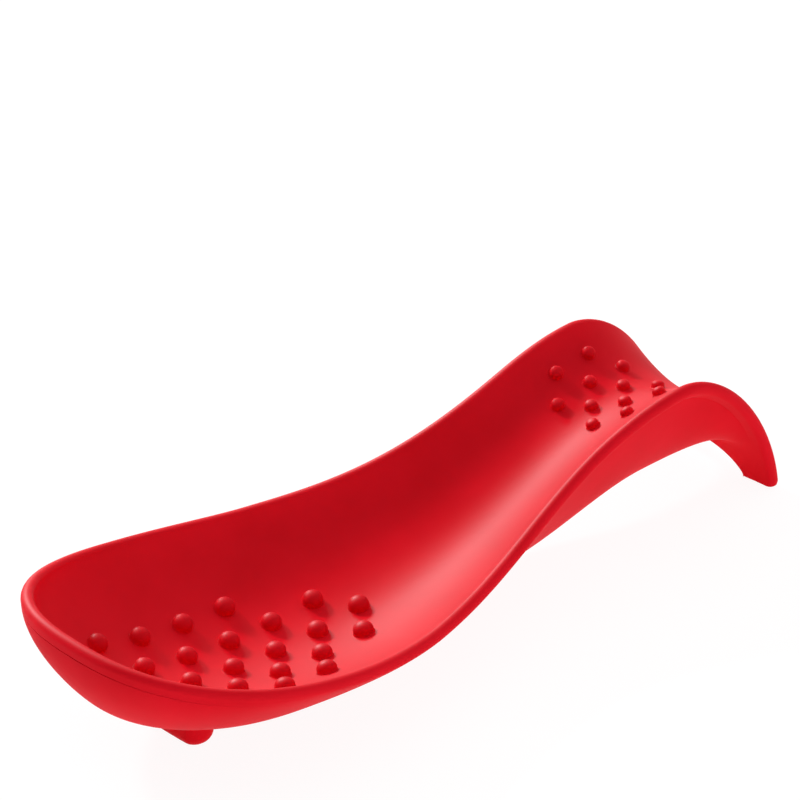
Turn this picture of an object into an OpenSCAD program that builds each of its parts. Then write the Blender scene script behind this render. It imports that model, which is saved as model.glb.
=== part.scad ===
// Spoon rest: a scoop-shaped bowl, a narrowing neck and a saddle that curls down into two rear legs.
// Millimetres. X runs from the bowl's nose to the rear legs, Z is up, and the part is symmetric in Y.
// The two skins share one mid surface: the tray lies on its upper side and the shell under it.

/* [Plan] */
// X of the saddle's crest, from the lip at the nose
crest_x = 207; // [190:1:225]
// half width of the bowl at the lip's centre line
bowl_half = 45.9; // [40:0.2:52]
// X where the bowl is widest
wide_x = 57; // [50:1:65]
// roundness of the nose in plan
nose_power = 2.45; // [2:0.05:3]
// half width of the neck and saddle
neck_half = 22.9; // [20:0.1:26]
// X where the neck reaches its least width
neck_x = 181; // [165:1:195]
// how much wider the legs stand than the saddle, per side
leg_flare = 1.8; // [0:0.1:4]

/* [Lip heights] */
// lip height at the nose
nose_z = 42.5; // [38:0.5:48]
// lip height at its lowest place
dip_z = 23.1; // [18:0.1:28]
// X of the lip's lowest place
dip_x = 97; // [85:1:110]
// how fast the lip rises towards the nose
dip_power = 1.55; // [1.2:0.05:2]
// lip height at the crest
crest_z = 45.6; // [40:0.1:50]
// how late the lip rises towards the crest
rise_power = 1.28; // [1:0.02:1.6]

/* [Trough] */
// depth of the bowl below the lip
bowl_depth = 20; // [15:0.5:25]
// depth of the saddle below the lip
saddle_depth = 8.3; // [6:0.1:12]
// X where the depth starts to lessen
depth_x = 30; // [20:1:45]
// X where the saddle's depth is reached
shallow_x = 185; // [170:1:200]
// X of the lowest ring in the nose
focus_x = 29; // [25:1:42]
// steepness of the wall at the nose, less is steeper
nose_bend = 0.36; // [0.3:0.02:0.9]
// steepness of the wall beside the bowl
bowl_bend = 0.92; // [0.5:0.02:1]
// steepness of the wall at the saddle
saddle_bend = 1; // [0.7:0.02:1.2]

/* [Curl] */
// reach of the curl behind the crest
curl_reach = 34.5; // [30:0.1:42]
// how much less the curl's middle reaches than its edges
curl_hollow = 1; // [0:0.1:3]
// roundness of the curl seen from the side
curl_power = 1.75; // [1.6:0.05:2.4]
// half width of the arch between the legs
arch_half = 16.3; // [12:0.1:19]
// height of the arch
arch_rise = 8.4; // [6:0.1:12]
// rounding of the toes' outer edges
toe_r = 2.2; // [1:0.1:3]

/* [Skins] */
// radius of the rolled lip
lip_r = 1.9; // [1.5:0.1:2.4]
// thickness of the tray where the shell backs it
tray_t = 1.8; // [1.4:0.1:2.4]
// thickness of the shell
shell_t = 1.6; // [1.2:0.1:2]
// depth of the lip's skirt down to the seam
skirt = 2.2; // [1.5:0.1:4]
// gap at the seam between the skins
seam_gap = 0.12; // [0.05:0.01:0.3]
// thickness of the legs, less than twice the lip's radius
leg_t = 3.6; // [3:0.1:4]

/* [Hull] */
// height of the keel line at the tail
keel_z = 9.7; // [8:0.1:16]
// height of the keel line under the neck
keel_low = 3.3; // [2:0.1:5]
// X where the keel line starts to rise
keel_x = 159; // [140:1:175]
// roundness of the hull's section
keel_power = 2.15; // [1.8:0.05:4]
// share of the curl at which the shell ends
stern_share = 0.78; // [0.6:0.01:0.85]
// how much fuller the hull is than the bowl's wall at the nose
nose_full = 2.4; // [0:0.1:5]
// X where that fullness has faded out
full_x = 90; // [70:1:110]

/* [Studs] */
// radius of a bowl stud
stud_r = 3.4; // [2.5:0.1:4]
// height of a bowl stud above the floor
stud_h = 2.8; // [2:0.1:4]
// spacing of the bowl studs along X
stud_pitch = 15.8; // [14:0.1:18]
// spacing of the bowl studs across
stud_row = 11; // [9:0.1:13]
// X of the front studs
stud_x = 25.4; // [22:0.1:30]
// radius of a saddle stud
grip_r = 2.9; // [2:0.1:4]
// height of a saddle stud
grip_h = 2; // [1:0.1:3]
// spacing of the saddle studs along X
grip_pitch = 12.2; // [10:0.1:14]
// spacing of the saddle studs across
grip_row = 7.8; // [6:0.1:9]
// X of the front saddle studs
grip_x = 187.5; // [180:0.5:195]
// depth of the studs' sockets in the tray
socket_depth = 1.1; // [0.6:0.1:1.3]
// depth of the heads' seats in the tray
seat_depth = 0.25; // [0.15:0.05:0.5]
// radius of a stud's shank
shank_r = 2; // [1.5:0.1:2.5]

/* [Foot] */
// X of the foot's middle
foot_x = 35.5; // [32:0.5:42]
// half length of the foot's sole
foot_half_x = 4.8; // [4:0.1:8]
// half width of the foot's sole
foot_half_y = 11; // [8:0.2:14]
// corner radius of the sole
foot_r = 4.2; // [3.2:0.1:6]
// flare of the foot up to the shell
foot_flare = 4; // [2:0.5:7]
// height over which the foot flares
foot_h = 13; // [11:0.5:16]
// rounding of the sole's edge
sole_r = 1.4; // [0.6:0.1:2]
// inset of the foot's plug in the shell
plug_inset = 2.4; // [1.5:0.1:3]

/* [Look] */
// colour of the skins
skin_colour = [0.86, 0.07, 0.11]; // three shares of full brightness
// colour of the soft studs and the foot
soft_colour = [0.8, 0.06, 0.1]; // three shares of full brightness

/* [Parts] */
// which sub-part to draw

/* [Hidden] */
nose_n = 10;
mid_n = 19;
curl_n = 9;
across_n = 7;
spare = 3;
length = crest_x + curl_reach + 2 * lip_r;
shift = length / 2 - lip_r;
stations = concat(
    [for (i = [0:nose_n - 1]) i / nose_n * wide_x / crest_x],
    [for (i = [0:mid_n - 1]) (wide_x + (crest_x - wide_x) * i / mid_n) / crest_x],
    [for (i = [0:curl_n - 1]) 1 + i / curl_n],
    [for (near = [5, 2, 0]) 2 - near / 100],
    [2 + spare / crest_z]);
stern_n = nose_n + mid_n + round(stern_share * curl_n);
hull_stations = [for (i = [0:stern_n]) stations[i]];

function clamp(t) = min(1, max(0, t));
function ease(a, b, x) = (1 - cos(180 * clamp((x - a) / (b - a)))) / 2;
function unit(v) = v / norm(v);
function back(list) = [for (j = [len(list) - 1:-1:0]) list[j]];

// lip and floor of the mid surface along X
function lip_half(x) = x < wide_x
    ? bowl_half * pow(1 - pow(clamp((wide_x - x) / wide_x), nose_power), 1 / nose_power)
    : bowl_half + (neck_half - bowl_half) * ease(wide_x, neck_x, x);
function lip_z(x) = x < dip_x
    ? dip_z + (nose_z - dip_z) * pow(clamp((dip_x - x) / dip_x), dip_power)
    : dip_z + (crest_z - dip_z) * (1 - cos(180 * pow(clamp((x - dip_x) / (crest_x - dip_x)), rise_power))) / 2;
function mid_depth(x) = bowl_depth + (saddle_depth - bowl_depth) * ease(depth_x, shallow_x, x) + lip_r;
function curl_point(t, reach, height) =
    [crest_x + reach * pow(sin(90 * t), 2 / curl_power), height * pow(max(0, cos(90 * t)), 2 / curl_power)];

// one station's rail: lip x, half width, lip z, spine x, spine z and bend
// u is 0 at the nose, 1 at the crest and 2 at the toes
function rail(u) =
    u * crest_x < wide_x ? nose_rail(u * crest_x / wide_x)
    : u <= 1 ? straight_rail(u * crest_x)
    : curl_rail(min(1, u - 1), max(0, u - 2) * crest_z);
function nose_rail(k) = let (
    x = wide_x * (1 - pow(cos(90 * k), 2 / nose_power)),
    f = focus_x + (wide_x - focus_x) * pow(k, 1.3))
    [x, bowl_half * pow(sin(90 * k), 2 / nose_power), lip_z(x), f, lip_z(f) - mid_depth(f),
     nose_bend + (bend(f) - nose_bend) * pow(k, 1.5)];
function straight_rail(x) = [x, lip_half(x), lip_z(x), x, lip_z(x) - mid_depth(x), bend(x)];
function curl_rail(t, under) = let (
    a = curl_point(t, curl_reach, crest_z),
    b = curl_point(t, curl_reach - curl_hollow, crest_z - saddle_depth - lip_r),
    low = clamp(1 - a[1] / toe_r),
    toe = toe_r * (1 - sqrt(1 - low * low)))
    [a[0], neck_half + leg_flare * t * t - toe, a[1] - under, b[0], b[1] - under, saddle_bend];
function bend(x) = bowl_bend + (saddle_bend - bowl_bend) * ease(depth_x, shallow_x, x);

// mid surface of the wall: s is 0 on the spine and 1 on the lip
function mid(u, s) = let (
    r = rail(u),
    g = 1 - pow(max(0, 1 - s * s), r[5]),
    along = u * crest_x < wide_x ? abs(s) : g,
    x = r[3] + (r[0] - r[3]) * along,
    floor_z = u < 1 ? lip_z(x) - mid_depth(x) : r[4])
    [x, r[1] * s, floor_z + (r[2] - floor_z) * g];
function normal(u, s) = let (
    h = 0.002,
    s1 = min(s, 1 - h),
    s0 = s1 - h,
    u0 = max(h, u) - h,
    n = unit(cross(mid(u0 + 2 * h, s1) - mid(u0, s1), mid(u, s1) - mid(u, s0))))
    s == 0 ? unit([n[0], 0, n[2]]) : n;
function wall(u, s, off) = mid(u, s) + off * (u == 0 ? nose_normal(s) : normal(u, s));
function nose_normal(s) = let (
    h = 0.002,
    s0 = min(s, 1 - h),
    d = mid(0, s0) - mid(0, s0 + h))
    unit([-d[2], 0, d[0]]);

// share of the half width at which the seam lies
function seam(u) = let (
    r = rail(min(u, 1)))
    sqrt(1 - pow(skirt / (r[2] - r[4]), 1 / r[5]));

// the hull's outer face leaves the mid surface where the keel line runs lower
function keel(u) = let (
    r = rail(u),
    line = keel_low + (keel_z - keel_low) * ease(keel_x, crest_x, r[3]))
    max(0, r[4] - lip_r - line) * ease(wide_x, dip_x, r[3]);
function hull_point(u, s) = let (
    share = abs(s) / seam(u),
    full = nose_full * (1 - ease(focus_x, full_x, rail(u)[3])),
    swell = pow(share, 2) * pow(1 - pow(share, 2), 2) * 27 / 4)
    wall(u, s, -lip_r) - [0, 0, keel(u) * (1 - pow(share, keel_power)) + full * swell];
function hull_normal(u, s) = let (
    h = 0.004,
    s0 = max(h, s) - h,
    v = max(4 * h, u),
    n = unit(cross(hull_point(v + h, s) - hull_point(v - h, s), hull_point(v, s0 + h) - hull_point(v, s0))))
    u == 0 || s == 0 ? unit([n[0], 0, n[2]]) : n;

// a loft of ribs that share their first and last points along the spine
// ribs[i] runs from the spine over one side and back to the spine, and mirrored ribs make the other side
function flip(p) = [p[0], -p[1], p[2]];
module loft(ribs) {
    n = len(ribs) - 1;
    q = len(ribs[0]);
    inner = q - 2;
    points = concat(
        [for (r = ribs) r[0]],
        [for (r = ribs) r[q - 1]],
        [for (k = [0:2 * n]) for (j = [1:q - 2]) k < n ? ribs[n - k][j] : flip(ribs[k - n][j])]);
    function at(k, j) = j == 0 ? abs(n - k) : j == q - 1 ? n + 1 + abs(n - k) : 2 * (n + 1) + k * inner + j - 1;
    function cell(a, b, c, d) = [[a, c, d], [a, b, c]];
    function cap(k, j, o) = concat(
        j + 1 < o ? [[at(k, j), at(k, j + 1), at(k, o)]] : [],
        j + 1 < o - 1 ? [[at(k, j + 1), at(k, o - 1), at(k, o)]] : []);
    sides = [for (k = [0:2 * n - 1]) for (j = [0:q - 2])
        for (f = cell(at(k, j), at(k + 1, j), at(k + 1, j + 1), at(k, j + 1))) f];
    ends = [for (j = [0:floor(q / 2) - 1])
        for (f = concat(cap(0, j, q - 1 - j), [for (g = cap(2 * n, j, q - 1 - j)) back(g)])) f];
    polyhedron(points = points, faces = concat(sides, ends), convexity = 8);
}

// the tray's rib: floor and wall, rolled lip, skirt, and the underside back to the spine
function tray_under(u) = u <= 1 + (stern_n - nose_n - mid_n + 0.5) / curl_n ? lip_r - tray_t : lip_r - leg_t;
function tray_rib(u) = let (
    m = across_n,
    sm = seam(u),
    am = asin(sm),
    c = mid(u, 1),
    n = unit(wall(u, 1, 1) - c),
    d = mid(u, 1) - mid(u, 0.97),
    o = unit(d - n * (d * n)))
    concat(
        [for (j = [0:m]) wall(u, sin(90 * j / m), lip_r)],
        [for (a = [45, 90, 135]) c + lip_r * (n * cos(a) + o * sin(a))],
        [for (s = [1, (1 + sm) / 2, sm]) wall(u, s, -lip_r)],
        [for (j = [0:m]) wall(u, sin(am * (m - j) / m), tray_under(u))]);

// the shell's faces from the spine to the seam, and its rib: inner face out, outer face back
function seam_angle(u) = asin(seam(u)) - 180 / PI * seam_gap / neck_half;
function shell_outer(u) = [for (j = [0:across_n]) hull_point(u, sin(seam_angle(u) * j / across_n))];
function shell_inner(u) = [for (j = [0:across_n]) let (
    s = sin(seam_angle(u) * j / across_n))
    hull_point(u, s) + shell_t * hull_normal(u, s)];
function shell_rib(u) = concat(shell_inner(u), back(shell_outer(u)));

// everything above one face of the shell, used to shape the foot's top
module above_outer(drop) {
    loft([for (u = hull_stations) concat(
        [[rail(u)[3], 0, 2 * crest_z]],
        [for (p = back(shell_outer(u))) p - [0, 0, drop]])]);
}
module above_inner() {
    loft([for (u = hull_stations) concat([[rail(u)[3], 0, 2 * crest_z]], back(shell_inner(u)))]);
}

// the place on the mid surface over a plan point
function find_u(x, y, lo, hi, steps) = let (
    u = (lo + hi) / 2,
    w = rail(u)[1],
    low = w <= abs(y) ? true : mid(u, abs(y) / w)[0] < x)
    steps == 0 ? u : find_u(x, y, low ? u : lo, low ? hi : u, steps - 1);
module on_floor(x, y) {
    nose = y == 0 && x < focus_x;
    u = nose ? 0 : find_u(x, abs(y), 0, 1.5, 30);
    s = nose ? (focus_x - x) / focus_x : abs(y) / rail(u)[1];
    p = wall(u, s, lip_r);
    n = nose ? nose_normal(s) : normal(u, s);
    side = y < 0 ? -1 : 1;
    translate([p[0], side * p[1], p[2]])
        rotate([0, acos(n[2]), atan2(side * n[1], n[0])])
            children();
}
module bowl_places() {
    for (row = [-2:2])
        for (i = [0:(row == 0 ? 5 : abs(row) == 1 ? 4 : 3)])
            on_floor(stud_x + stud_pitch * (i + (abs(row) == 1 ? 0.5 : 0)), row * stud_row)
                children();
}
module saddle_places() {
    for (row = [-2:2])
        for (i = [0:(abs(row) == 1 ? 2 : 1)])
            on_floor(grip_x + grip_pitch * (i + (abs(row) == 1 ? 0 : 0.5)), row * grip_row)
                children();
}
// a blind socket for the shank with a shallow seat for the head
module socket(head) {
    play = shank_r / 40;
    hull() {
        translate([0, 0, -socket_depth])
            cylinder(r = shank_r + play, h = socket_depth, $fn = 8);
        cylinder(r = shank_r + play, h = lip_r, $fn = 8);
    }
    translate([0, 0, -seat_depth])
        cylinder(r = head + play, h = lip_r, $fn = 13);
}
module stud(r, h) {
    dome = (r * r + h * h) / (2 * h);
    intersection() {
        translate([0, 0, h - dome])
            sphere(r = dome, $fn = 13);
        translate([0, 0, -seat_depth])
            cylinder(r = r, h = 2 * h, $fn = 13);
    }
    translate([0, 0, -socket_depth])
        cylinder(r = shank_r, h = socket_depth, $fn = 8);
}
module sole(grow) {
    offset(r = foot_r + grow)
        square([2 * (foot_half_x - foot_r), 2 * (foot_half_y - foot_r)], center = true);
}
function flare(z) = foot_flare * (1 - sqrt(1 - pow(clamp(z / foot_h), 2)))
    - sole_r * (1 - sqrt(1 - pow(clamp(1 - z / sole_r), 2)));
foot_levels = concat([for (i = [0:3]) sole_r * i / 3], [for (i = [1:7]) sole_r + (foot_h - sole_r) * i / 7]);
module slab(low, high, grow_low, grow_high) {
    hull() {
        translate([0, 0, low])
            linear_extrude(height = lip_r / 100)
                sole(grow_low);
        translate([0, 0, high])
            linear_extrude(height = lip_r / 100)
                sole(grow_high);
    }
}
module foot_block() {
    for (i = [0:len(foot_levels) - 2])
        slab(foot_levels[i], foot_levels[i + 1], flare(foot_levels[i]), flare(foot_levels[i + 1]));
}
module foot_plug(grow) {
    steps = 8;
    for (i = [0:steps - 1])
        slab(foot_h * (steps + i) / 2 / steps, foot_h * (steps + i + 1) / 2 / steps,
            grow - plug_inset, grow - plug_inset);
}

arch_r = (arch_half * arch_half + arch_rise * arch_rise) / (2 * arch_rise);

module tray() {
    color(skin_colour)
        translate([-shift, 0, 0])
            difference() {
                loft([for (u = stations) tray_rib(u)]);
                translate([-lip_r, -2 * bowl_half, -2 * crest_z])
                    cube([2 * length, 4 * bowl_half, 2 * crest_z]);
                translate([crest_x + curl_reach / 2, 0, arch_rise - arch_r])
                    rotate([0, 90, 0])
                        cylinder(r = arch_r, h = curl_reach, $fn = 48);
                bowl_places()
                    socket(stud_r);
                saddle_places()
                    socket(grip_r);
            }
}
module under_shell() {
    color(skin_colour)
        translate([-shift, 0, 0])
            difference() {
                loft([for (u = hull_stations) shell_rib(u)]);
                translate([foot_x, 0, 0])
                    foot_plug(seam_gap / 3);
            }
}
module bowl_studs() {
    color(soft_colour)
        translate([-shift, 0, 0])
            bowl_places()
                stud(stud_r, stud_h);
}
module saddle_studs() {
    color(soft_colour)
        translate([-shift, 0, 0])
            saddle_places()
                stud(grip_r, grip_h);
}
module front_foot() {
    color(soft_colour)
        translate([-shift, 0, 0]) {
            difference() {
                translate([foot_x, 0, 0])
                    foot_block();
                above_outer(seam_gap / 3);
            }
            difference() {
                translate([foot_x, 0, 0])
                    foot_plug(0);
                above_inner();
            }
        }
}

tray();
under_shell();
bowl_studs();
saddle_studs();
front_foot();
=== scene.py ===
"""Looks of the spoon rest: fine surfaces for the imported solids, finishes, light and camera.

Sizes of the pieces are in millimetres, as in the part's source, and X is counted from the lip at
the nose. add_mesh() turns them into metres and moves them into the frame's own origin. Sizes of
the finishes and the studio are in metres.
"""

import logging
import math
from dataclasses import dataclass, field
from enum import Enum
from typing import Sequence

import bpy
import numpy as np
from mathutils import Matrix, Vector


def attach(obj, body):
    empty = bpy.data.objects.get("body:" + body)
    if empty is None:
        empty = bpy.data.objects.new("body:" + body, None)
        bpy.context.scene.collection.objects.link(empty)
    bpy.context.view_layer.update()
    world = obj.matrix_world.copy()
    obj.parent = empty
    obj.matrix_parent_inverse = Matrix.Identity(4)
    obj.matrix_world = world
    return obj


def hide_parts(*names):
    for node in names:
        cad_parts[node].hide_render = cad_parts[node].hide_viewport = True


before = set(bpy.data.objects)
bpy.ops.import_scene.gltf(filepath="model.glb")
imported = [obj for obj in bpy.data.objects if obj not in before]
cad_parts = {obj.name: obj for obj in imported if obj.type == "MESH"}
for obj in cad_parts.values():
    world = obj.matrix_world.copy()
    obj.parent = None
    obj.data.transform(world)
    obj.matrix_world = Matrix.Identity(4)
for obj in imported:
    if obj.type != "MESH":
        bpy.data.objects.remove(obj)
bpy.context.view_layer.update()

LOG = logging.getLogger("spoon_rest")
MM = 0.001
TINY = 1e-12  # keeps a division away from zero
STEP = 1e-4  # step in u and s for slopes taken by differences
SHARP = math.radians(40)  # an edge that turns further is shaded sharp
QUARTER = np.pi / 2
WHITE = (1.0, 1.0, 1.0, 1.0)
Array = np.ndarray


class Lead(Enum):
    """Which rows of a stud field start at its first place. The others start half a pitch behind."""

    EVEN = 0
    ODD = 1


class Reach(Enum):
    """Which light of a lamp reaches the object."""

    ALL = "all"
    SHEEN = "sheen"


# Helpers


def blend(a: Array, b: Array, share: Array) -> Array:
    """The value that lies a share of the way from a to b."""
    return a + (b - a) * share


def ease(a: float, b: float, x: Array) -> Array:
    """Half a cosine wave from 0 at a to 1 at b.

    Args:
        a: Where the wave starts.
        b: Where it ends.
        x: Places to evaluate.

    Returns:
        The wave's height at each place.
    """
    t = np.clip((x - a) / (b - a), 0.0, 1.0)
    return 0.5 - 0.5 * np.cos(np.pi * t)


def unit(v: Array) -> Array:
    """The same directions as v, each of length one, along the last axis."""
    return v / np.maximum(np.linalg.norm(v, axis=-1, keepdims=True), TINY)


def raised(base: Array, power: float) -> Array:
    """A power of a number kept from going below zero."""
    return np.maximum(base, 0.0) ** power


# The shared wall


@dataclass(frozen=True)
class WallForm:
    """The mid surface of the wall that the tray and the shell share.

    u is 0 at the nose, 1 at the crest and 2 at the toes. s is 0 on the spine and 1 on the lip.
    """

    crest_x: float = 207.0
    bowl_half: float = 45.9
    wide_x: float = 57.0
    nose_power: float = 2.45
    neck_half: float = 22.9
    neck_x: float = 181.0
    leg_flare: float = 1.8
    nose_z: float = 42.5
    dip_z: float = 23.1
    dip_x: float = 97.0
    dip_power: float = 1.55
    crest_z: float = 45.6
    rise_power: float = 1.28
    bowl_depth: float = 20.0
    saddle_depth: float = 8.3
    depth_x: float = 30.0
    shallow_x: float = 185.0
    focus_x: float = 29.0
    focus_power: float = 1.3
    nose_bend: float = 0.36
    bowl_bend: float = 0.92
    saddle_bend: float = 1.0
    bend_power: float = 1.5
    curl_reach: float = 34.5
    curl_hollow: float = 1.0
    curl_power: float = 1.75
    arch_half: float = 16.3
    arch_rise: float = 8.4
    toe_r: float = 2.2
    lip_r: float = 1.9
    skirt: float = 2.2
    keel_z: float = 9.7
    keel_low: float = 3.3
    keel_x: float = 159.0
    keel_power: float = 2.15
    stern_share: float = 0.78
    nose_full: float = 2.4
    full_x: float = 90.0
    steady: float = 0.985
    nose_count: int = 49
    middle_count: int = 81
    arch_rounds: int = 6
    halvings: int = 40
    far_u: float = 1.6

    @property
    def shift(self) -> float:
        """Distance from the lip at the nose back to the frame's origin."""
        return (self.crest_x + self.curl_reach + 2 * self.lip_r) / 2 - self.lip_r

    @property
    def wide_u(self) -> float:
        """Station of the bowl's widest place."""
        return self.wide_x / self.crest_x

    def stations(self, last: float, count: int) -> Array:
        """Stations from the nose to a place behind the crest, closest at the nose.

        Args:
            last: The last station.
            count: Number of stations from the crest to the last one.

        Returns:
            The stations in order.
        """
        nose = np.linspace(0.0, self.wide_u, self.nose_count)[:-1]
        middle = np.linspace(self.wide_u, 1.0, self.middle_count)[:-1]
        return np.concatenate([nose, middle, np.linspace(1.0, last, count)])

    def lip_half(self, x: Array) -> Array:
        """Half width at the lip behind the bowl's widest place."""
        return blend(self.bowl_half, self.neck_half, ease(self.wide_x, self.neck_x, x))

    def lip_z(self, x: Array) -> Array:
        """Height of the lip: a power curve down to the dip, then a late half wave up to the crest.

        Args:
            x: Places along the lip.

        Returns:
            The height at each place.
        """
        fall = raised((self.dip_x - x) / self.dip_x, self.dip_power)
        t = np.clip((x - self.dip_x) / (self.crest_x - self.dip_x), 0.0, 1.0) ** self.rise_power
        front = blend(self.dip_z, self.nose_z, fall)
        back = blend(self.dip_z, self.crest_z, ease(0.0, 1.0, t))
        return np.where(x < self.dip_x, front, back)

    def depth(self, x: Array) -> Array:
        """Depth of the mid surface's floor below the lip."""
        fade = ease(self.depth_x, self.shallow_x, x)
        return blend(self.bowl_depth, self.saddle_depth, fade) + self.lip_r

    def bend(self, x: Array) -> Array:
        """Steepness of the wall beside a place on the spine."""
        return blend(self.bowl_bend, self.saddle_bend, ease(self.depth_x, self.shallow_x, x))

    def rail(self, u: Array) -> Array:
        """Lip x, half width, lip z, spine x, spine z and bend of each station.

        The nose is a superellipse, and the curl is a quarter of one. The half width shrinks by a
        quarter circle over the toe's last few millimetres.

        Args:
            u: Stations.

        Returns:
            Six numbers per station along the last axis.
        """
        u = np.asarray(u, float)
        k = np.clip(u / self.wide_u, 0.0, 1.0)
        in_nose = u < self.wide_u
        turn = k * np.pi / 2
        nose_x = self.wide_x * (1 - raised(np.cos(turn), 2 / self.nose_power))
        nose_w = self.bowl_half * raised(np.sin(turn), 2 / self.nose_power)
        x = np.where(in_nose, nose_x, np.clip(u, 0.0, 1.0) * self.crest_x)
        half = np.where(in_nose, nose_w, self.lip_half(x))
        spine = np.where(in_nose, blend(self.focus_x, self.wide_x, k**self.focus_power), x)
        bend = self.bend(spine)
        bend = np.where(in_nose, blend(self.nose_bend, bend, k**self.bend_power), bend)
        z = self.lip_z(x)
        spine_z = self.lip_z(spine) - self.depth(spine)

        t = np.clip(u - 1, 0.0, 1.0)
        cos, sin = np.cos(t * np.pi / 2), np.sin(t * np.pi / 2)
        out, down = raised(sin, 2 / self.curl_power), raised(cos, 2 / self.curl_power)
        curled = u > 1
        x = np.where(curled, self.crest_x + self.curl_reach * out, x)
        z = np.where(curled, self.crest_z * down, z)
        half = half + self.leg_flare * t * t
        low = np.clip(1 - z / self.toe_r, 0.0, 1.0)
        shrunk = half - self.toe_r * (1 - np.sqrt(np.maximum(1 - low * low, 0.0)))
        half = np.where(curled, shrunk, half)
        spine = np.where(curled, self.crest_x + (self.curl_reach - self.curl_hollow) * out, spine)
        floor = (self.crest_z - self.saddle_depth - self.lip_r) * down
        spine_z = np.where(curled, floor, spine_z)
        bend = np.where(curled, self.saddle_bend, bend)
        return np.stack([x, half, z, spine, spine_z, bend], -1)

    def mid(self, u: Array, s: Array) -> Array:
        """Points of the mid surface.

        Height is the floor plus a share g of the way up to the lip, with g = 1 - (1 - s^2)^bend.

        Args:
            u: Stations.
            s: Shares of the half width.

        Returns:
            Points along the last axis.
        """
        u, s = np.broadcast_arrays(np.asarray(u, float), np.asarray(s, float))
        lip_x, half, lip_z, spine, spine_z, bend = np.moveaxis(self.rail(u), -1, 0)
        g = 1 - raised(1 - s * s, bend)
        x = blend(spine, lip_x, np.where(u < self.wide_u, np.abs(s), g))
        floor = np.where(u < 1, self.lip_z(x) - self.depth(x), spine_z)
        return np.stack([x, half * s, blend(floor, lip_z, g)], -1)

    def normal(self, u: Array, s: Array) -> Array:
        """Unit normals of the mid surface, on the side that faces up and inwards.

        Args:
            u: Stations.
            s: Shares of the half width.

        Returns:
            Normals along the last axis. On the plane of symmetry they have no Y.
        """
        u, s = np.broadcast_arrays(np.asarray(u, float), np.asarray(s, float))
        v = np.clip(u, 2 * STEP, 2 - 2 * STEP)
        s1 = np.clip(s, 2 * STEP, self.steady)
        along = self.mid(v + STEP, s1) - self.mid(v - STEP, s1)
        n = np.cross(along, self.mid(v, s1) - self.mid(v, s1 - STEP))
        n[..., 1] = np.where((s == 0) | (u == 0), 0.0, n[..., 1])
        return unit(n)

    def face(self, u: Array, s: Array, off: float) -> Array:
        """Points of the wall's face at an offset from the mid surface."""
        return self.mid(u, s) + off * self.normal(u, s)

    def seam(self, u: Array) -> Array:
        """Share of the half width at which the seam lies."""
        r = self.rail(np.minimum(u, 1.0))
        return np.sqrt(1 - raised(self.skirt / (r[..., 2] - r[..., 4]), 1 / r[..., 5]))

    def keel(self, u: Array) -> Array:
        """How far the hull's keel line drops below the wall.

        Args:
            u: Stations.

        Returns:
            The drop at each station.
        """
        r = self.rail(u)
        line = blend(self.keel_low, self.keel_z, ease(self.keel_x, self.crest_x, r[..., 3]))
        drop = np.maximum(r[..., 4] - self.lip_r - line, 0.0)
        return drop * ease(self.wide_x, self.dip_x, r[..., 3])

    def hull(self, u: Array, s: Array, off: float = 0.0) -> Array:
        """Points of the hull's outer face: the wall's lower face, lowered by keel and full nose.

        The swell is share^2 (1 - share^2)^2, scaled by 27/4 so that its peak is one.

        Args:
            u: Stations.
            s: Shares of the half width.
            off: Distance from the lower face towards the wall's middle.

        Returns:
            Points along the last axis.
        """
        u, s = np.broadcast_arrays(np.asarray(u, float), np.asarray(s, float))
        p = self.face(u, s, -self.lip_r + off)
        share = np.abs(s) / self.seam(u)
        full = self.nose_full * (1 - ease(self.focus_x, self.full_x, self.rail(u)[..., 3]))
        swell = 27 / 4 * share**2 * (1 - share**2) ** 2
        p[..., 2] -= self.keel(u) * (1 - share**self.keel_power) + full * swell
        return p

    def arch(self, y: Array) -> Array:
        """Height of the legs' lower edge, a round arc, at a distance from the middle."""
        r = (self.arch_half**2 + self.arch_rise**2) / (2 * self.arch_rise)
        return np.maximum(np.sqrt(np.maximum(r * r - y * y, 0.0)) - (r - self.arch_rise), 0.0)

    def curl_end(self, s: Array) -> Array:
        """Station at which the curl meets the arch or the ground.

        The leg's flare moves the meeting place sideways, so it is found by a few rounds.

        Args:
            s: Shares of the half width.

        Returns:
            The station for each share.
        """
        t = np.ones_like(s)
        g = 1 - raised(1 - s * s, self.saddle_bend)
        top = blend(self.crest_z - self.saddle_depth - self.lip_r, self.crest_z, g)
        for _ in range(self.arch_rounds):
            y = s * (self.neck_half + self.leg_flare * t * t)
            level = np.clip((self.arch(y) / top) ** (self.curl_power / 2), 0.0, 1.0)
            t = np.arccos(level) / QUARTER
        return 1 + t

    def on_legs(self, u: Array, s: Array) -> Array:
        """Stations with those of the curl drawn in, so that 2 meets the arch or the ground."""
        return np.where(u > 1, 1 + (u - 1) * (self.curl_end(s) - 1), u)

    def locate(self, x: float, y: float) -> tuple[float, float]:
        """Station and share of the mid surface over a plan point, found by halving.

        Args:
            x: Distance behind the lip at the nose.
            y: Distance from the plane of symmetry.

        Returns:
            The station and the share, which is never below zero.
        """
        if y == 0 and x < self.focus_x:
            return 0.0, (self.focus_x - x) / self.focus_x
        low, high = 0.0, self.far_u
        for _ in range(self.halvings):
            u = (low + high) / 2
            half = float(self.rail(np.array(u))[1])
            short = half <= abs(y) or float(self.mid(np.array(u), np.array(abs(y) / half))[0]) < x
            low, high = (u, high) if short else (low, u)
        return u, abs(y) / float(self.rail(np.array(u))[1])


# Meshes


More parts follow.
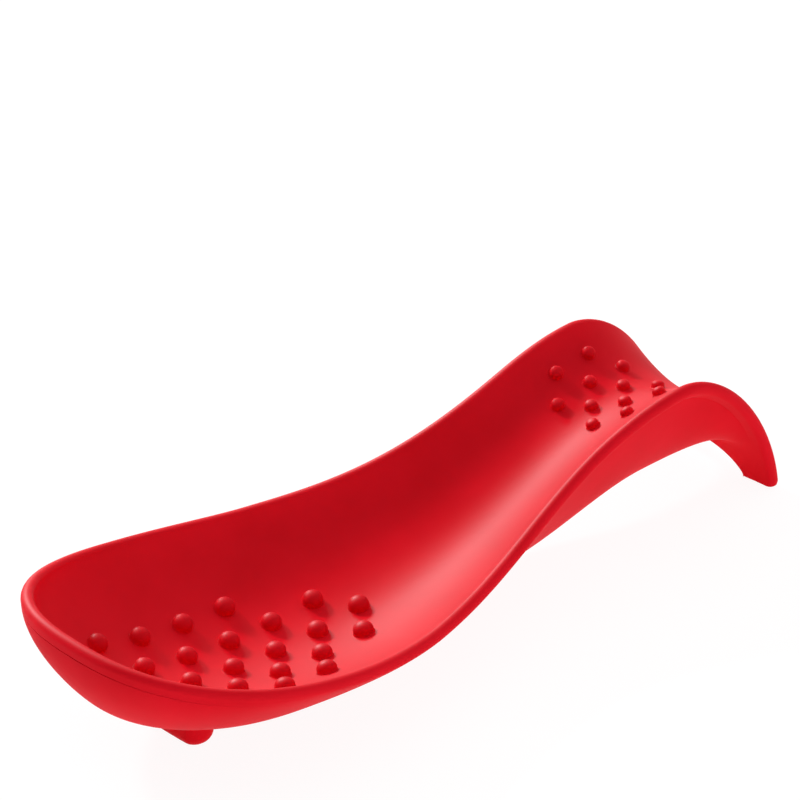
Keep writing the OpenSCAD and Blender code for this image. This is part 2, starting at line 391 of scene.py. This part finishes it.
@dataclass
class Loft:
    """A closed surface from ribs that share their first and last points along the spine.

    ribs has the shape (stations, points, 3). Rib 0 lies in the plane of symmetry at the nose, and
    the ribs of the far side are mirror images.
    """

    ribs: Array

    def mesh(self) -> tuple[Array, Array]:
        """Vertices and four-sided faces.

        The ribs run from the far side's last one round the nose to the near side's last one.

        Returns:
            Points as (n, 3) and faces as (m, 4) vertex numbers, facing outwards.
        """
        n, q = self.ribs.shape[0] - 1, self.ribs.shape[1]
        ring = np.concatenate([self.ribs[::-1], self.ribs[1:] * np.array([1.0, -1.0, 1.0])])
        k = np.arange(2 * n + 1)
        index = np.empty((2 * n + 1, q), int)
        index[:, 0] = np.abs(n - k)
        index[:, -1] = n + 1 + np.abs(n - k)
        inner = np.arange((2 * n + 1) * (q - 2)).reshape(2 * n + 1, q - 2)
        index[:, 1:-1] = 2 * (n + 1) + inner
        points = np.concatenate([self.ribs[:, 0], self.ribs[:, -1], ring[:, 1:-1].reshape(-1, 3)])
        a, b = index[:-1, :-1], index[:-1, 1:]
        c, d = index[1:, 1:], index[1:, :-1]
        sides = np.stack([a, d, c, b], -1).reshape(-1, 4)
        j = np.arange(q // 2)
        j = j[j + 1 < q - 2 - j]
        near, far = index[0], index[-1]
        ends = np.concatenate([
            np.stack([near[j], near[j + 1], near[q - 2 - j], near[q - 1 - j]], -1),
            np.stack([far[j], far[q - 1 - j], far[q - 2 - j], far[j + 1]], -1),
        ])
        return points, np.concatenate([sides, ends])


def bands(first: int, rings: int, around: int, falling: bool) -> Array:
    """Four-sided faces between rings of vertices that follow each other.

    Args:
        first: Number of the first ring's first vertex.
        rings: Number of rings.
        around: Vertices of a ring.
        falling: Whether the rings run from the top down.

    Returns:
        Faces as (m, 4) vertex numbers, facing outwards.
    """
    i = np.arange(around)
    j = (i + 1) % around
    step = (first + np.arange(rings - 1) * around)[:, None]
    here, there = (step + i, step + j), (step + around + i, step + around + j)
    corners = (here[0], there[0], there[1], here[1]) if falling else (*here, there[1], there[0])
    return np.stack(corners, -1).reshape(-1, 4)


def fan(tip: int, first: int, around: int, clockwise: bool) -> Array:
    """Three-sided faces from one vertex to the ring of vertices that starts at first.

    Args:
        tip: Number of the single vertex.
        first: Number of the ring's first vertex.
        around: Vertices of the ring.
        clockwise: Whether the faces run clockwise, which faces them down.

    Returns:
        Faces as (m, 3) vertex numbers.
    """
    i = np.arange(around)
    pair = [first + i, first + (i + 1) % around]
    return np.stack([np.full_like(i, tip), *(pair[::-1] if clockwise else pair)], -1)


def add_mesh(name: str, points: Array, faces: Sequence, form: WallForm,
             sharp: bool = True) -> bpy.types.Object:
    """Makes an object in the frame from points in millimetres counted from the nose.

    Args:
        name: The piece's name.
        points: Vertices.
        faces: Vertex numbers of the faces.
        form: The wall, for the shift to the frame's origin.
        sharp: Whether strongly turned edges are shaded sharp.

    Returns:
        The new object, at the origin and unscaled.
    """
    data = bpy.data.meshes.new(name)
    moved = (points - np.array([form.shift, 0.0, 0.0])) * MM
    data.from_pydata(moved.tolist(), [], [list(face) for face in faces])
    data.polygons.foreach_set("use_smooth", np.full(len(data.polygons), True))
    data.validate()
    if sharp:
        data.set_sharp_from_angle(angle=SHARP)
    data.update()
    made = bpy.data.objects.new(name, data)
    bpy.context.scene.collection.objects.link(made)
    return made


# Finishes


@dataclass(frozen=True)
class Finish:
    """A moulded one-colour finish: cloudy colour, fine grain and a faint broad wave."""

    name: str
    colour: tuple[float, float, float]
    deep: tuple[float, float, float]
    roughness: float
    roughness_swing: float = 0.05
    shine: float = 0.03
    cloud: float = 0.018
    cloud_range: tuple[float, float] = (0.3, 0.6)
    grain: float = 0.00035
    grain_height: float = 0.000012
    grain_strength: float = 0.6
    wave: float = 0.6
    wave_height: float = 0.00008
    wave_strength: float = 0.25

    def noise(self, tree: bpy.types.NodeTree, size: float, detail: float) -> bpy.types.NodeSocket:
        """Noise in object coordinates.

        Args:
            tree: The node tree to add to.
            size: Size of the noise's features.
            detail: Number of finer layers.

        Returns:
            The noise's value.
        """
        place = tree.nodes.new("ShaderNodeTexCoord")
        made = tree.nodes.new("ShaderNodeTexNoise")
        made.inputs["Scale"].default_value = 1 / size
        made.inputs["Detail"].default_value = detail
        tree.links.new(place.outputs["Object"], made.inputs["Vector"])
        return made.outputs["Fac"]

    def bump(self, tree: bpy.types.NodeTree, height: bpy.types.NodeSocket, distance: float,
             strength: float) -> bpy.types.Node:
        """A bump node.

        Args:
            tree: The node tree to add to.
            height: The value that it raises.
            distance: Height of the bumps.
            strength: Share of the effect.

        Returns:
            The node.
        """
        made = tree.nodes.new("ShaderNodeBump")
        made.inputs["Distance"].default_value = distance
        made.inputs["Strength"].default_value = strength
        tree.links.new(height, made.inputs["Height"])
        return made

    def make(self) -> bpy.types.Material:
        """The procedural material.

        Returns:
            A node material that reads object coordinates.
        """
        made = bpy.data.materials.new(self.name)
        made.use_nodes = True
        tree = made.node_tree
        nodes, links = tree.nodes, tree.links
        skin = nodes["Principled BSDF"]
        skin.inputs["Specular IOR Level"].default_value = self.shine

        spread = nodes.new("ShaderNodeMapRange")
        spread.inputs["From Min"].default_value = self.cloud_range[0]
        spread.inputs["From Max"].default_value = self.cloud_range[1]
        tint = nodes.new("ShaderNodeMix")
        tint.data_type = "RGBA"
        tint.inputs[6].default_value = (*self.deep, 1.0)
        tint.inputs[7].default_value = (*self.colour, 1.0)
        links.new(self.noise(tree, self.cloud, 4.0), spread.inputs["Value"])
        links.new(spread.outputs["Result"], tint.inputs[0])
        links.new(tint.outputs[2], skin.inputs["Base Color"])

        grain = self.noise(tree, self.grain, 3.0)
        rough = nodes.new("ShaderNodeMapRange")
        rough.inputs["To Min"].default_value = self.roughness - self.roughness_swing
        rough.inputs["To Max"].default_value = self.roughness + self.roughness_swing
        links.new(grain, rough.inputs["Value"])
        links.new(rough.outputs["Result"], skin.inputs["Roughness"])

        wave = self.noise(tree, self.cloud * self.wave, 2.0)
        broad = self.bump(tree, wave, self.wave_height, self.wave_strength)
        fine = self.bump(tree, grain, self.grain_height, self.grain_strength)
        links.new(broad.outputs["Normal"], fine.inputs["Normal"])
        links.new(fine.outputs["Normal"], skin.inputs["Normal"])
        return made


RED_SKIN = Finish("red_satin_skin", (0.83, 0.007, 0.019), (0.78, 0.006, 0.016), 0.55)
RED_SOFT = Finish("red_soft_rubber", (0.82, 0.007, 0.018), (0.77, 0.006, 0.015), 0.50)
# A darker copy of the soft red for the bowl's studs. The darkening is painted shade for the shaded
# sides they turn to the camera, not a second rubber.
RED_SOFT_PAINTED_SHADE = Finish("red_soft_rubber_painted_shade", (0.75, 0.007, 0.018), (0.70, 0.006, 0.015), 0.50)


# Sub-assemblies


@dataclass
class Tray:
    """The top skin: floor, rolled lip, skirt, and the curl with its two legs.

    It thickens shortly before the hull's stern, so that no slit opens between them.
    """

    form: WallForm
    finish: Finish
    thickness: float = 1.8
    leg_thickness: float = 3.75
    stern_margin: float = 0.021
    near_lip: float = 0.98
    curl_count: int = 49
    across: int = 56
    lip_steps: int = 12
    skirt_steps: int = 8

    def ribs(self) -> Array:
        """Ribs from the spine over the floor, round the lip, under the skirt and back.

        Returns:
            Points with the shape (stations, points, 3).
        """
        form, m = self.form, self.across
        base = form.stations(2.0, self.curl_count)[:, None]
        s_top = np.sin(np.linspace(0.0, QUARTER, m + 1))[None]
        seam = form.seam(base)
        s_low = np.sin(np.arcsin(seam) * np.linspace(1.0, 0.0, m + 1)[None])
        s_skirt = 1 - (1 - seam) * np.linspace(0.0, 1.0, self.skirt_steps + 1)[None]

        u_lip = form.on_legs(base, np.ones_like(base))
        centre = form.mid(u_lip, 1.0)
        n = unit(form.face(u_lip, 1.0, 1.0) - centre)
        d = centre - form.mid(u_lip, self.near_lip)
        o = unit(d - n * np.sum(d * n, -1, keepdims=True))
        turn = np.linspace(0.0, np.pi, self.lip_steps + 1)[1:-1][None, :, None]
        roll = centre + form.lip_r * (n * np.cos(turn) + o * np.sin(turn))

        u_low = form.on_legs(base, s_low)
        over_hull = u_low < 1 + form.stern_share - self.stern_margin
        under = form.lip_r - np.where(over_hull, self.thickness, self.leg_thickness)
        return np.concatenate([
            form.face(form.on_legs(base, s_top), s_top, form.lip_r),
            roll,
            form.face(form.on_legs(base, s_skirt), s_skirt, -form.lip_r),
            form.mid(u_low, s_low) + under[..., None] * form.normal(u_low, s_low),
        ], 1)

    def build(self) -> list[bpy.types.Object]:
        """Makes the piece.

        Returns:
            The piece.
        """
        points, faces = Loft(self.ribs()).mesh()
        points[:, 2] = np.maximum(points[:, 2], 0.0)
        made = add_mesh("tray_skin", points, faces, self.form)
        made.data.materials.append(self.finish.make())
        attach(made, "root")
        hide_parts("tray")
        return [made]


@dataclass
class UnderShell:
    """The outer skin under the bowl and the hull under the tail.

    gap is the seam's opening at the nose and along the tail, and gap_x is where it narrows.
    """

    form: WallForm
    finish: Finish
    thickness: float = 1.6
    gap: tuple[float, float] = (0.12, 0.01)
    gap_x: tuple[float, float] = (8.0, 48.0)
    stern_count: int = 35
    across: int = 56

    def ribs(self) -> Array:
        """Ribs from the spine along the inner face to the seam and back along the outer face.

        Returns:
            Points with the shape (stations, points, 3).
        """
        form = self.form
        base = form.stations(1 + form.stern_share, self.stern_count)[:, None]
        gap = blend(*self.gap, ease(*self.gap_x, form.rail(base)[..., 0]))
        edge = np.arcsin(form.seam(base)) - gap / form.neck_half
        s = np.sin(edge * np.linspace(0.0, 1.0, self.across + 1)[None])
        outer = form.hull(base, s)
        inner = outer + self.thickness * self.lean(base, s)
        return np.concatenate([inner, outer[:, ::-1]], 1)

    def lean(self, u: Array, s: Array) -> Array:
        """Unit normals of the hull, facing inwards.

        Args:
            u: Stations.
            s: Shares of the half width.

        Returns:
            Normals along the last axis. On the plane of symmetry they have no Y.
        """
        hull = self.form.hull
        u, s = np.broadcast_arrays(u, s)
        v = np.clip(u, 2 * STEP, 2 - 2 * STEP)
        s0 = np.maximum(s, STEP) - STEP
        n = np.cross(hull(v + STEP, s) - hull(v - STEP, s), hull(v, s0 + STEP) - hull(v, s0))
        n[..., 1] = np.where((s == 0) | (u == 0), 0.0, n[..., 1])
        return unit(n)

    def build(self) -> list[bpy.types.Object]:
        """Makes the piece.

        Returns:
            The piece.
        """
        points, faces = Loft(self.ribs()).mesh()
        made = add_mesh("hull_skin", points, faces, self.form)
        made.data.materials.append(self.finish.make())
        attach(made, "root")
        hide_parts("under_shell")
        return [made]


@dataclass
class StudField:
    """A staggered field of equal soft studs on the floor.

    counts holds the studs of the middle row, of the rows beside it and of the outer rows. A crown
    below one flattens the dome, and sink is how far the closed underside reaches into the floor.
    """

    form: WallForm
    finish: Finish
    name: str
    node: str
    radius: float
    height: float
    first_x: float
    pitch: float
    row: float
    counts: tuple[int, int, int]
    lead: Lead
    crown: float = 1.0
    crown_drop: float = 0.9
    fillet: float = 0.35
    fillet_rings: int = 6
    shank_share: float = 0.25
    sink: float = 0.3
    rings: int = 18
    around: int = 40

    def places(self) -> list[tuple[float, float]]:
        """Plan places of the studs, row by row.

        Returns:
            X and Y of each stud.
        """
        made = []
        for row in range(-2, 3):
            offset = 0.0 if Lead(abs(row) % 2) is self.lead else 0.5
            made += [(self.first_x + self.pitch * (i + offset), row * self.row)
                     for i in range(self.counts[abs(row)])]
        return made

    def profile(self) -> Array:
        """The stud's outline from the top down to the fillet's foot.

        Returns:
            Distance from the axis and height of each point.
        """
        narrow, share = self.radius - self.fillet, self.shank_share
        turn = np.linspace(0.0, QUARTER, self.rings)
        across = raised(np.sin(turn), self.crown)
        along = raised(np.cos(turn), self.crown_drop * self.crown)
        cap = np.stack([narrow * across, self.height * (share + (1 - share) * along)], -1)
        turn = np.linspace(0.0, QUARTER, self.fillet_rings + 1)[1:]
        skirt = np.stack([self.radius - self.fillet * np.cos(turn),
                          self.height * share * (1 - np.sin(turn))], -1)
        return np.concatenate([cap, skirt])

    def stud(self) -> tuple[Array, list[Array]]:
        """One stud that stands on the plane z = 0.

        Returns:
            Its points, and its faces as arrays of vertex numbers: top, underside and bands.
        """
        outline = self.profile()
        turn = np.linspace(0.0, 2 * np.pi, self.around, endpoint=False)
        rings = len(outline) - 1
        reach, level = outline[1:, None, 0], outline[1:, None, 1]
        sides = np.stack([reach * np.cos(turn), reach * np.sin(turn),
                          np.broadcast_to(level, (rings, self.around))], -1).reshape(-1, 3)
        top, foot = [0.0, 0.0, outline[0, 1]], [0.0, 0.0, outline[-1, 1] - self.sink]
        points = np.concatenate([[top], sides, [foot]])
        last = 1 + (rings - 1) * self.around
        return points, [
            fan(0, 1, self.around, clockwise=False),
            fan(len(points) - 1, last, self.around, clockwise=True),
            bands(1, rings, self.around, falling=True),
        ]

    def build(self) -> list[bpy.types.Object]:
        """Makes the field as one piece, each stud square to the floor where it stands.

        Returns:
            The piece.
        """
        local, parts = self.stud()
        points, faces = [], []
        for number, (x, y) in enumerate(self.places()):
            u, s = self.form.locate(x, y)
            spot = np.array(u), np.array(s)
            centre = self.form.face(*spot, self.form.lip_r)
            up = self.form.normal(*spot)
            if y < 0:
                centre, up = centre * [1, -1, 1], up * [1, -1, 1]
            side = unit(np.cross(up, [1.0, 0.0, 0.0]))
            points.append(centre + local @ np.stack([np.cross(side, up), side, up]))
            for part in parts:
                faces += (part + number * len(local)).tolist()
        made = add_mesh(self.name, np.concatenate(points), faces, self.form, sharp=False)
        made.data.materials.append(self.finish.make())
        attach(made, "root")
        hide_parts(self.node)
        return [made]


@dataclass
class FrontFoot:
    """The soft foot under the bowl: a long rounded sole whose sides flow into the hull.

    The flow starts a share rise of the way up from the rounded edge to the hull, and it ends a
    little inside the hull, by the length bite.
    """

    form: WallForm
    finish: Finish
    hull: bpy.types.Object
    x: float = 35.5
    half_x: float = 5.4
    half_y: float = 13.4
    corner: float = 5.3
    edge: float = 4.0
    flow: float = 4.2
    square: float = 3.0
    rise: float = 0.35
    bite: float = 0.08
    edge_rings: int = 9
    flow_rings: int = 17
    around: int = 96

    def outline(self, grow: float) -> Array:
        """Plan points of the sole's rounded rectangle.

        Args:
            grow: How far the outline is grown outwards.

        Returns:
            X and Y of each point.
        """
        turn = np.linspace(0.0, 2 * np.pi, self.around, endpoint=False)
        core = np.array([self.half_x - self.corner, self.half_y - self.corner])
        way = np.stack([np.cos(turn), np.sin(turn)], -1)
        pull = np.clip(way * self.square, -1.0, 1.0)
        return np.array([self.x, 0.0]) + core * pull + (self.corner + grow) * way

    def ceiling(self, plan: Array) -> Array:
        """Height of the hull's outer face over plan points, found by rays from below.

        Args:
            plan: X and Y of each point.

        Returns:
            The height over each point.
        """
        found = []
        for x, y in plan:
            start = Vector(((x - self.form.shift) * MM, y * MM, -10 * MM))
            hit, place, _, _ = self.hull.ray_cast(start, Vector((0.0, 0.0, 1.0)))
            found.append(place.z / MM if hit else self.form.lip_z(np.array(x)).item())
        return np.array(found)

    def build(self) -> list[bpy.types.Object]:
        """Makes the piece: rings from the sole round its edge and up to the hull.

        Returns:
            The piece.
        """
        rings = []
        for turn in np.linspace(0.0, QUARTER, self.edge_rings):
            plan = self.outline(-self.edge * (1 - math.sin(turn)))
            level = np.full(self.around, self.edge * (1 - math.cos(turn)))
            rings.append(np.column_stack([plan, level]))
        for turn in np.linspace(0.0, QUARTER, self.flow_rings):
            plan = self.outline(self.flow * (1 - math.cos(turn)))
            top = self.ceiling(plan)
            start = blend(self.edge, top, self.rise)
            level = blend(start, top + self.bite, math.sin(turn))
            rings.append(np.column_stack([plan, level]))
        ring = np.concatenate(rings)
        crown = float(np.mean(rings[-1][:, 2]))
        centre = np.array([[self.x, 0.0, 0.0], [self.x, 0.0, crown]])
        last = len(ring) - self.around
        faces = [
            *bands(0, len(rings), self.around, falling=False).tolist(),
            *fan(len(ring), 0, self.around, clockwise=True).tolist(),
            *fan(len(ring) + 1, last, self.around, clockwise=False).tolist(),
        ]
        made = add_mesh("foot_skin", np.concatenate([ring, centre]), faces, self.form)
        made.data.materials.append(self.finish.make())
        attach(made, "root")
        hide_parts("front_foot")
        return [made]


# Studio


@dataclass(frozen=True)
class Softbox:
    """A soft area light, aimed at the object.

    right, up and away are its direction from the object, in the photograph's own directions: to
    the right, upwards and away from the camera.
    """

    name: str
    right: float
    up: float
    away: float
    distance: float
    size: tuple[float, float]
    power: float
    reach: Reach = Reach.ALL


@dataclass
class Studio:
    """Floor, lights and camera.

    bounce and paper are the floor's own glow and the share of light that it throws back, and
    shown holds the same two for the floor as the camera sees it. The surround's strength goes
    from the first to the second of sky where the slope along sky_pull goes through sky_range.
    """

    bearing: float = 42.85
    elevation: float = 32.2
    distance: float = 2.4768
    target: tuple[float, float, float] = (-0.00106, 0.0, 0.0699)
    lens: float = 405.0
    sensor: float = 36.0
    sight: float = 50.0
    aim: tuple[float, float, float] = (0.0, 0.0, 0.02)
    boxes: Sequence[Softbox] = field(default_factory=lambda: (
        Softbox("key", -0.62, 0.76, 0.21, 1.6, (0.16, 0.16), 15.0),
        Softbox("sheen", -0.40, 0.79, 0.42, 1.6, (0.50, 0.30), 98.0, Reach.SHEEN),
        Softbox("card", 0.66, -0.35, -0.66, 1.6, (1.60, 0.16), 6.0),
    ))
    floor_half: float = 6.0
    floor_z: float = -0.0001
    bounce: float = 0.32
    paper: float = 0.85
    shown: tuple[float, float] = (0.12, 0.93)
    sky: tuple[float, float] = (0.12, 0.80)
    sky_range: tuple[float, float] = (0.1, 0.85)
    sky_pull: tuple[float, float, float] = (0.15, 0.44, 0.85)

    def axes(self) -> tuple[Vector, Vector, Vector]:
        """The photograph's own directions.

        Returns:
            Right, up and forward of the camera, in the frame.
        """
        b, e = math.radians(self.bearing), math.radians(self.elevation)
        right = Vector((math.cos(b), -math.sin(b), 0.0))
        forward = Vector((math.sin(b) * math.cos(e), math.cos(b) * math.cos(e), -math.sin(e)))
        return right, right.cross(forward), forward

    def camera(self) -> None:
        """Puts the camera where the photograph was taken from."""
        _, _, forward = self.axes()
        data = bpy.data.cameras.new("photo_camera")
        data.lens = self.lens
        data.sensor_width = self.sensor
        data.clip_end = self.sight
        made = bpy.data.objects.new("photo_camera", data)
        made.location = Vector(self.target) - forward * self.distance
        made.rotation_euler = forward.to_track_quat("-Z", "Y").to_euler()
        bpy.context.scene.collection.objects.link(made)
        bpy.context.scene.camera = made

    def lights(self) -> None:
        """Hangs the soft boxes, each aimed at the middle of the object."""
        right, up, forward = self.axes()
        for box in self.boxes:
            data = bpy.data.lights.new(box.name, "AREA")
            data.shape = "RECTANGLE"
            data.size, data.size_y = box.size
            data.energy = box.power
            made = bpy.data.objects.new(box.name, data)
            away = (right * box.right + up * box.up + forward * box.away).normalized()
            made.location = Vector(self.aim) + away * box.distance
            made.rotation_euler = (-away).to_track_quat("-Z", "Y").to_euler()
            made.visible_diffuse = box.reach is Reach.ALL
            bpy.context.scene.collection.objects.link(made)

    def seen(self, tree: bpy.types.NodeTree, plain: bpy.types.NodeSocket,
             light: bpy.types.NodeSocket) -> bpy.types.NodeSocket:
        """Mixes in the plain background for camera rays, mirrored rays and rays through glass.

        Args:
            tree: The node tree to add to.
            plain: The shader that these rays meet.
            light: The shader that the other rays meet.

        Returns:
            The mixed shader's output.
        """
        path = tree.nodes.new("ShaderNodeLightPath")
        for kind in ("Is Camera Ray", "Is Glossy Ray", "Is Transmission Ray"):
            mix = tree.nodes.new("ShaderNodeMixShader")
            for slot, source in enumerate((path.outputs[kind], light, plain)):
                tree.links.new(source, mix.inputs[slot])
            light = mix.outputs[0]
        return light

    def sheet(self, tree: bpy.types.NodeTree, matt: float, glow: float) -> bpy.types.NodeSocket:
        """A matt white that also glows.

        Args:
            tree: The node tree to add to.
            matt: Share of the light that it throws back.
            glow: Strength of its own light.

        Returns:
            The shader's output.
        """
        back = tree.nodes.new("ShaderNodeBsdfDiffuse")
        back.inputs["Color"].default_value = (matt, matt, matt, 1.0)
        own = tree.nodes.new("ShaderNodeEmission")
        own.inputs["Strength"].default_value = glow
        both = tree.nodes.new("ShaderNodeAddShader")
        tree.links.new(back.outputs[0], both.inputs[0])
        tree.links.new(own.outputs[0], both.inputs[1])
        return both.outputs[0]

    def floor(self) -> None:
        """A white floor that throws light back up at the object and keeps a faint shadow of it."""
        data = bpy.data.meshes.new("floor")
        corners = [(x * self.floor_half, y * self.floor_half, 0)
                   for x, y in ((-1, -1), (1, -1), (1, 1), (-1, 1))]
        data.from_pydata(corners, [], [(0, 1, 2, 3)])
        made = bpy.data.objects.new("floor", data)
        made.location = (0.0, 0.0, self.floor_z)
        bpy.context.scene.collection.objects.link(made)
        paper = bpy.data.materials.new("paper")
        paper.use_nodes = True
        tree = paper.node_tree
        tree.nodes.remove(tree.nodes["Principled BSDF"])
        pair = [self.sheet(tree, *level) for level in (self.shown, (self.paper, self.bounce))]
        tree.links.new(self.seen(tree, *pair), tree.nodes["Material Output"].inputs["Surface"])
        data.materials.append(paper)

    def world(self) -> None:
        """A white surround, brightest behind and above the object."""
        world = bpy.data.worlds.new("surround")
        bpy.context.scene.world = world
        world.use_nodes = True
        tree = world.node_tree
        nodes, links = tree.nodes, tree.links
        right, _, forward = self.axes()
        ahead = Vector((forward.x, forward.y, 0.0)).normalized()
        side, behind, above = self.sky_pull
        pull = right * side + ahead * behind + Vector((0, 0, 1)) * above
        place = nodes.new("ShaderNodeTexCoord")
        dot = nodes.new("ShaderNodeVectorMath")
        dot.operation = "DOT_PRODUCT"
        dot.inputs[1].default_value = pull.normalized()
        links.new(place.outputs["Generated"], dot.inputs[0])
        level = nodes.new("ShaderNodeMapRange")
        level.interpolation_type = "SMOOTHSTEP"
        level.inputs["From Min"].default_value = self.sky_range[0]
        level.inputs["From Max"].default_value = self.sky_range[1]
        level.inputs["To Min"].default_value = self.sky[0]
        level.inputs["To Max"].default_value = self.sky[1]
        links.new(dot.outputs["Value"], level.inputs["Value"])
        back = nodes["Background"]
        back.inputs["Color"].default_value = WHITE
        links.new(level.outputs["Result"], back.inputs["Strength"])
        white = nodes.new("ShaderNodeBackground")
        white.inputs["Color"].default_value = WHITE
        both = self.seen(tree, white.outputs[0], back.outputs[0])
        links.new(both, nodes["World Output"].inputs["Surface"])

    def build(self) -> None:
        """Sets the whole stage."""
        self.camera()
        self.lights()
        self.floor()
        self.world()
        bpy.context.scene.view_settings.view_transform = "Standard"


def main() -> None:
    """Builds the pieces in the order in which they are put together, then the studio."""
    logging.basicConfig(level=logging.INFO, format="%(name)s: %(message)s")
    form = WallForm()
    shell = UnderShell(form, RED_SKIN).build()
    bpy.context.view_layer.update()
    LOG.info("%s: %d faces", shell[0].name, len(shell[0].data.polygons))
    assemblies = [
        FrontFoot(form, RED_SOFT, shell[0]),
        Tray(form, RED_SKIN),
        # The bowl's studs take the darker copy of the soft red, which is painted shade.
        StudField(form, RED_SOFT_PAINTED_SHADE, "bowl_stud_caps", "bowl_studs", radius=3.3, height=3.4,
                  first_x=25.4, pitch=15.8, row=11.0, counts=(6, 5, 4), lead=Lead.EVEN),
        StudField(form, RED_SOFT, "saddle_stud_caps", "saddle_studs", radius=2.3, height=2.2,
                  first_x=187.5, pitch=12.2, row=7.8, counts=(2, 3, 2), lead=Lead.ODD, crown=0.85),
    ]
    for assembly in assemblies:
        for piece in assembly.build():
            LOG.info("%s: %d faces", piece.name, len(piece.data.polygons))
    Studio().build()


if __name__ == "__main__":
    main()
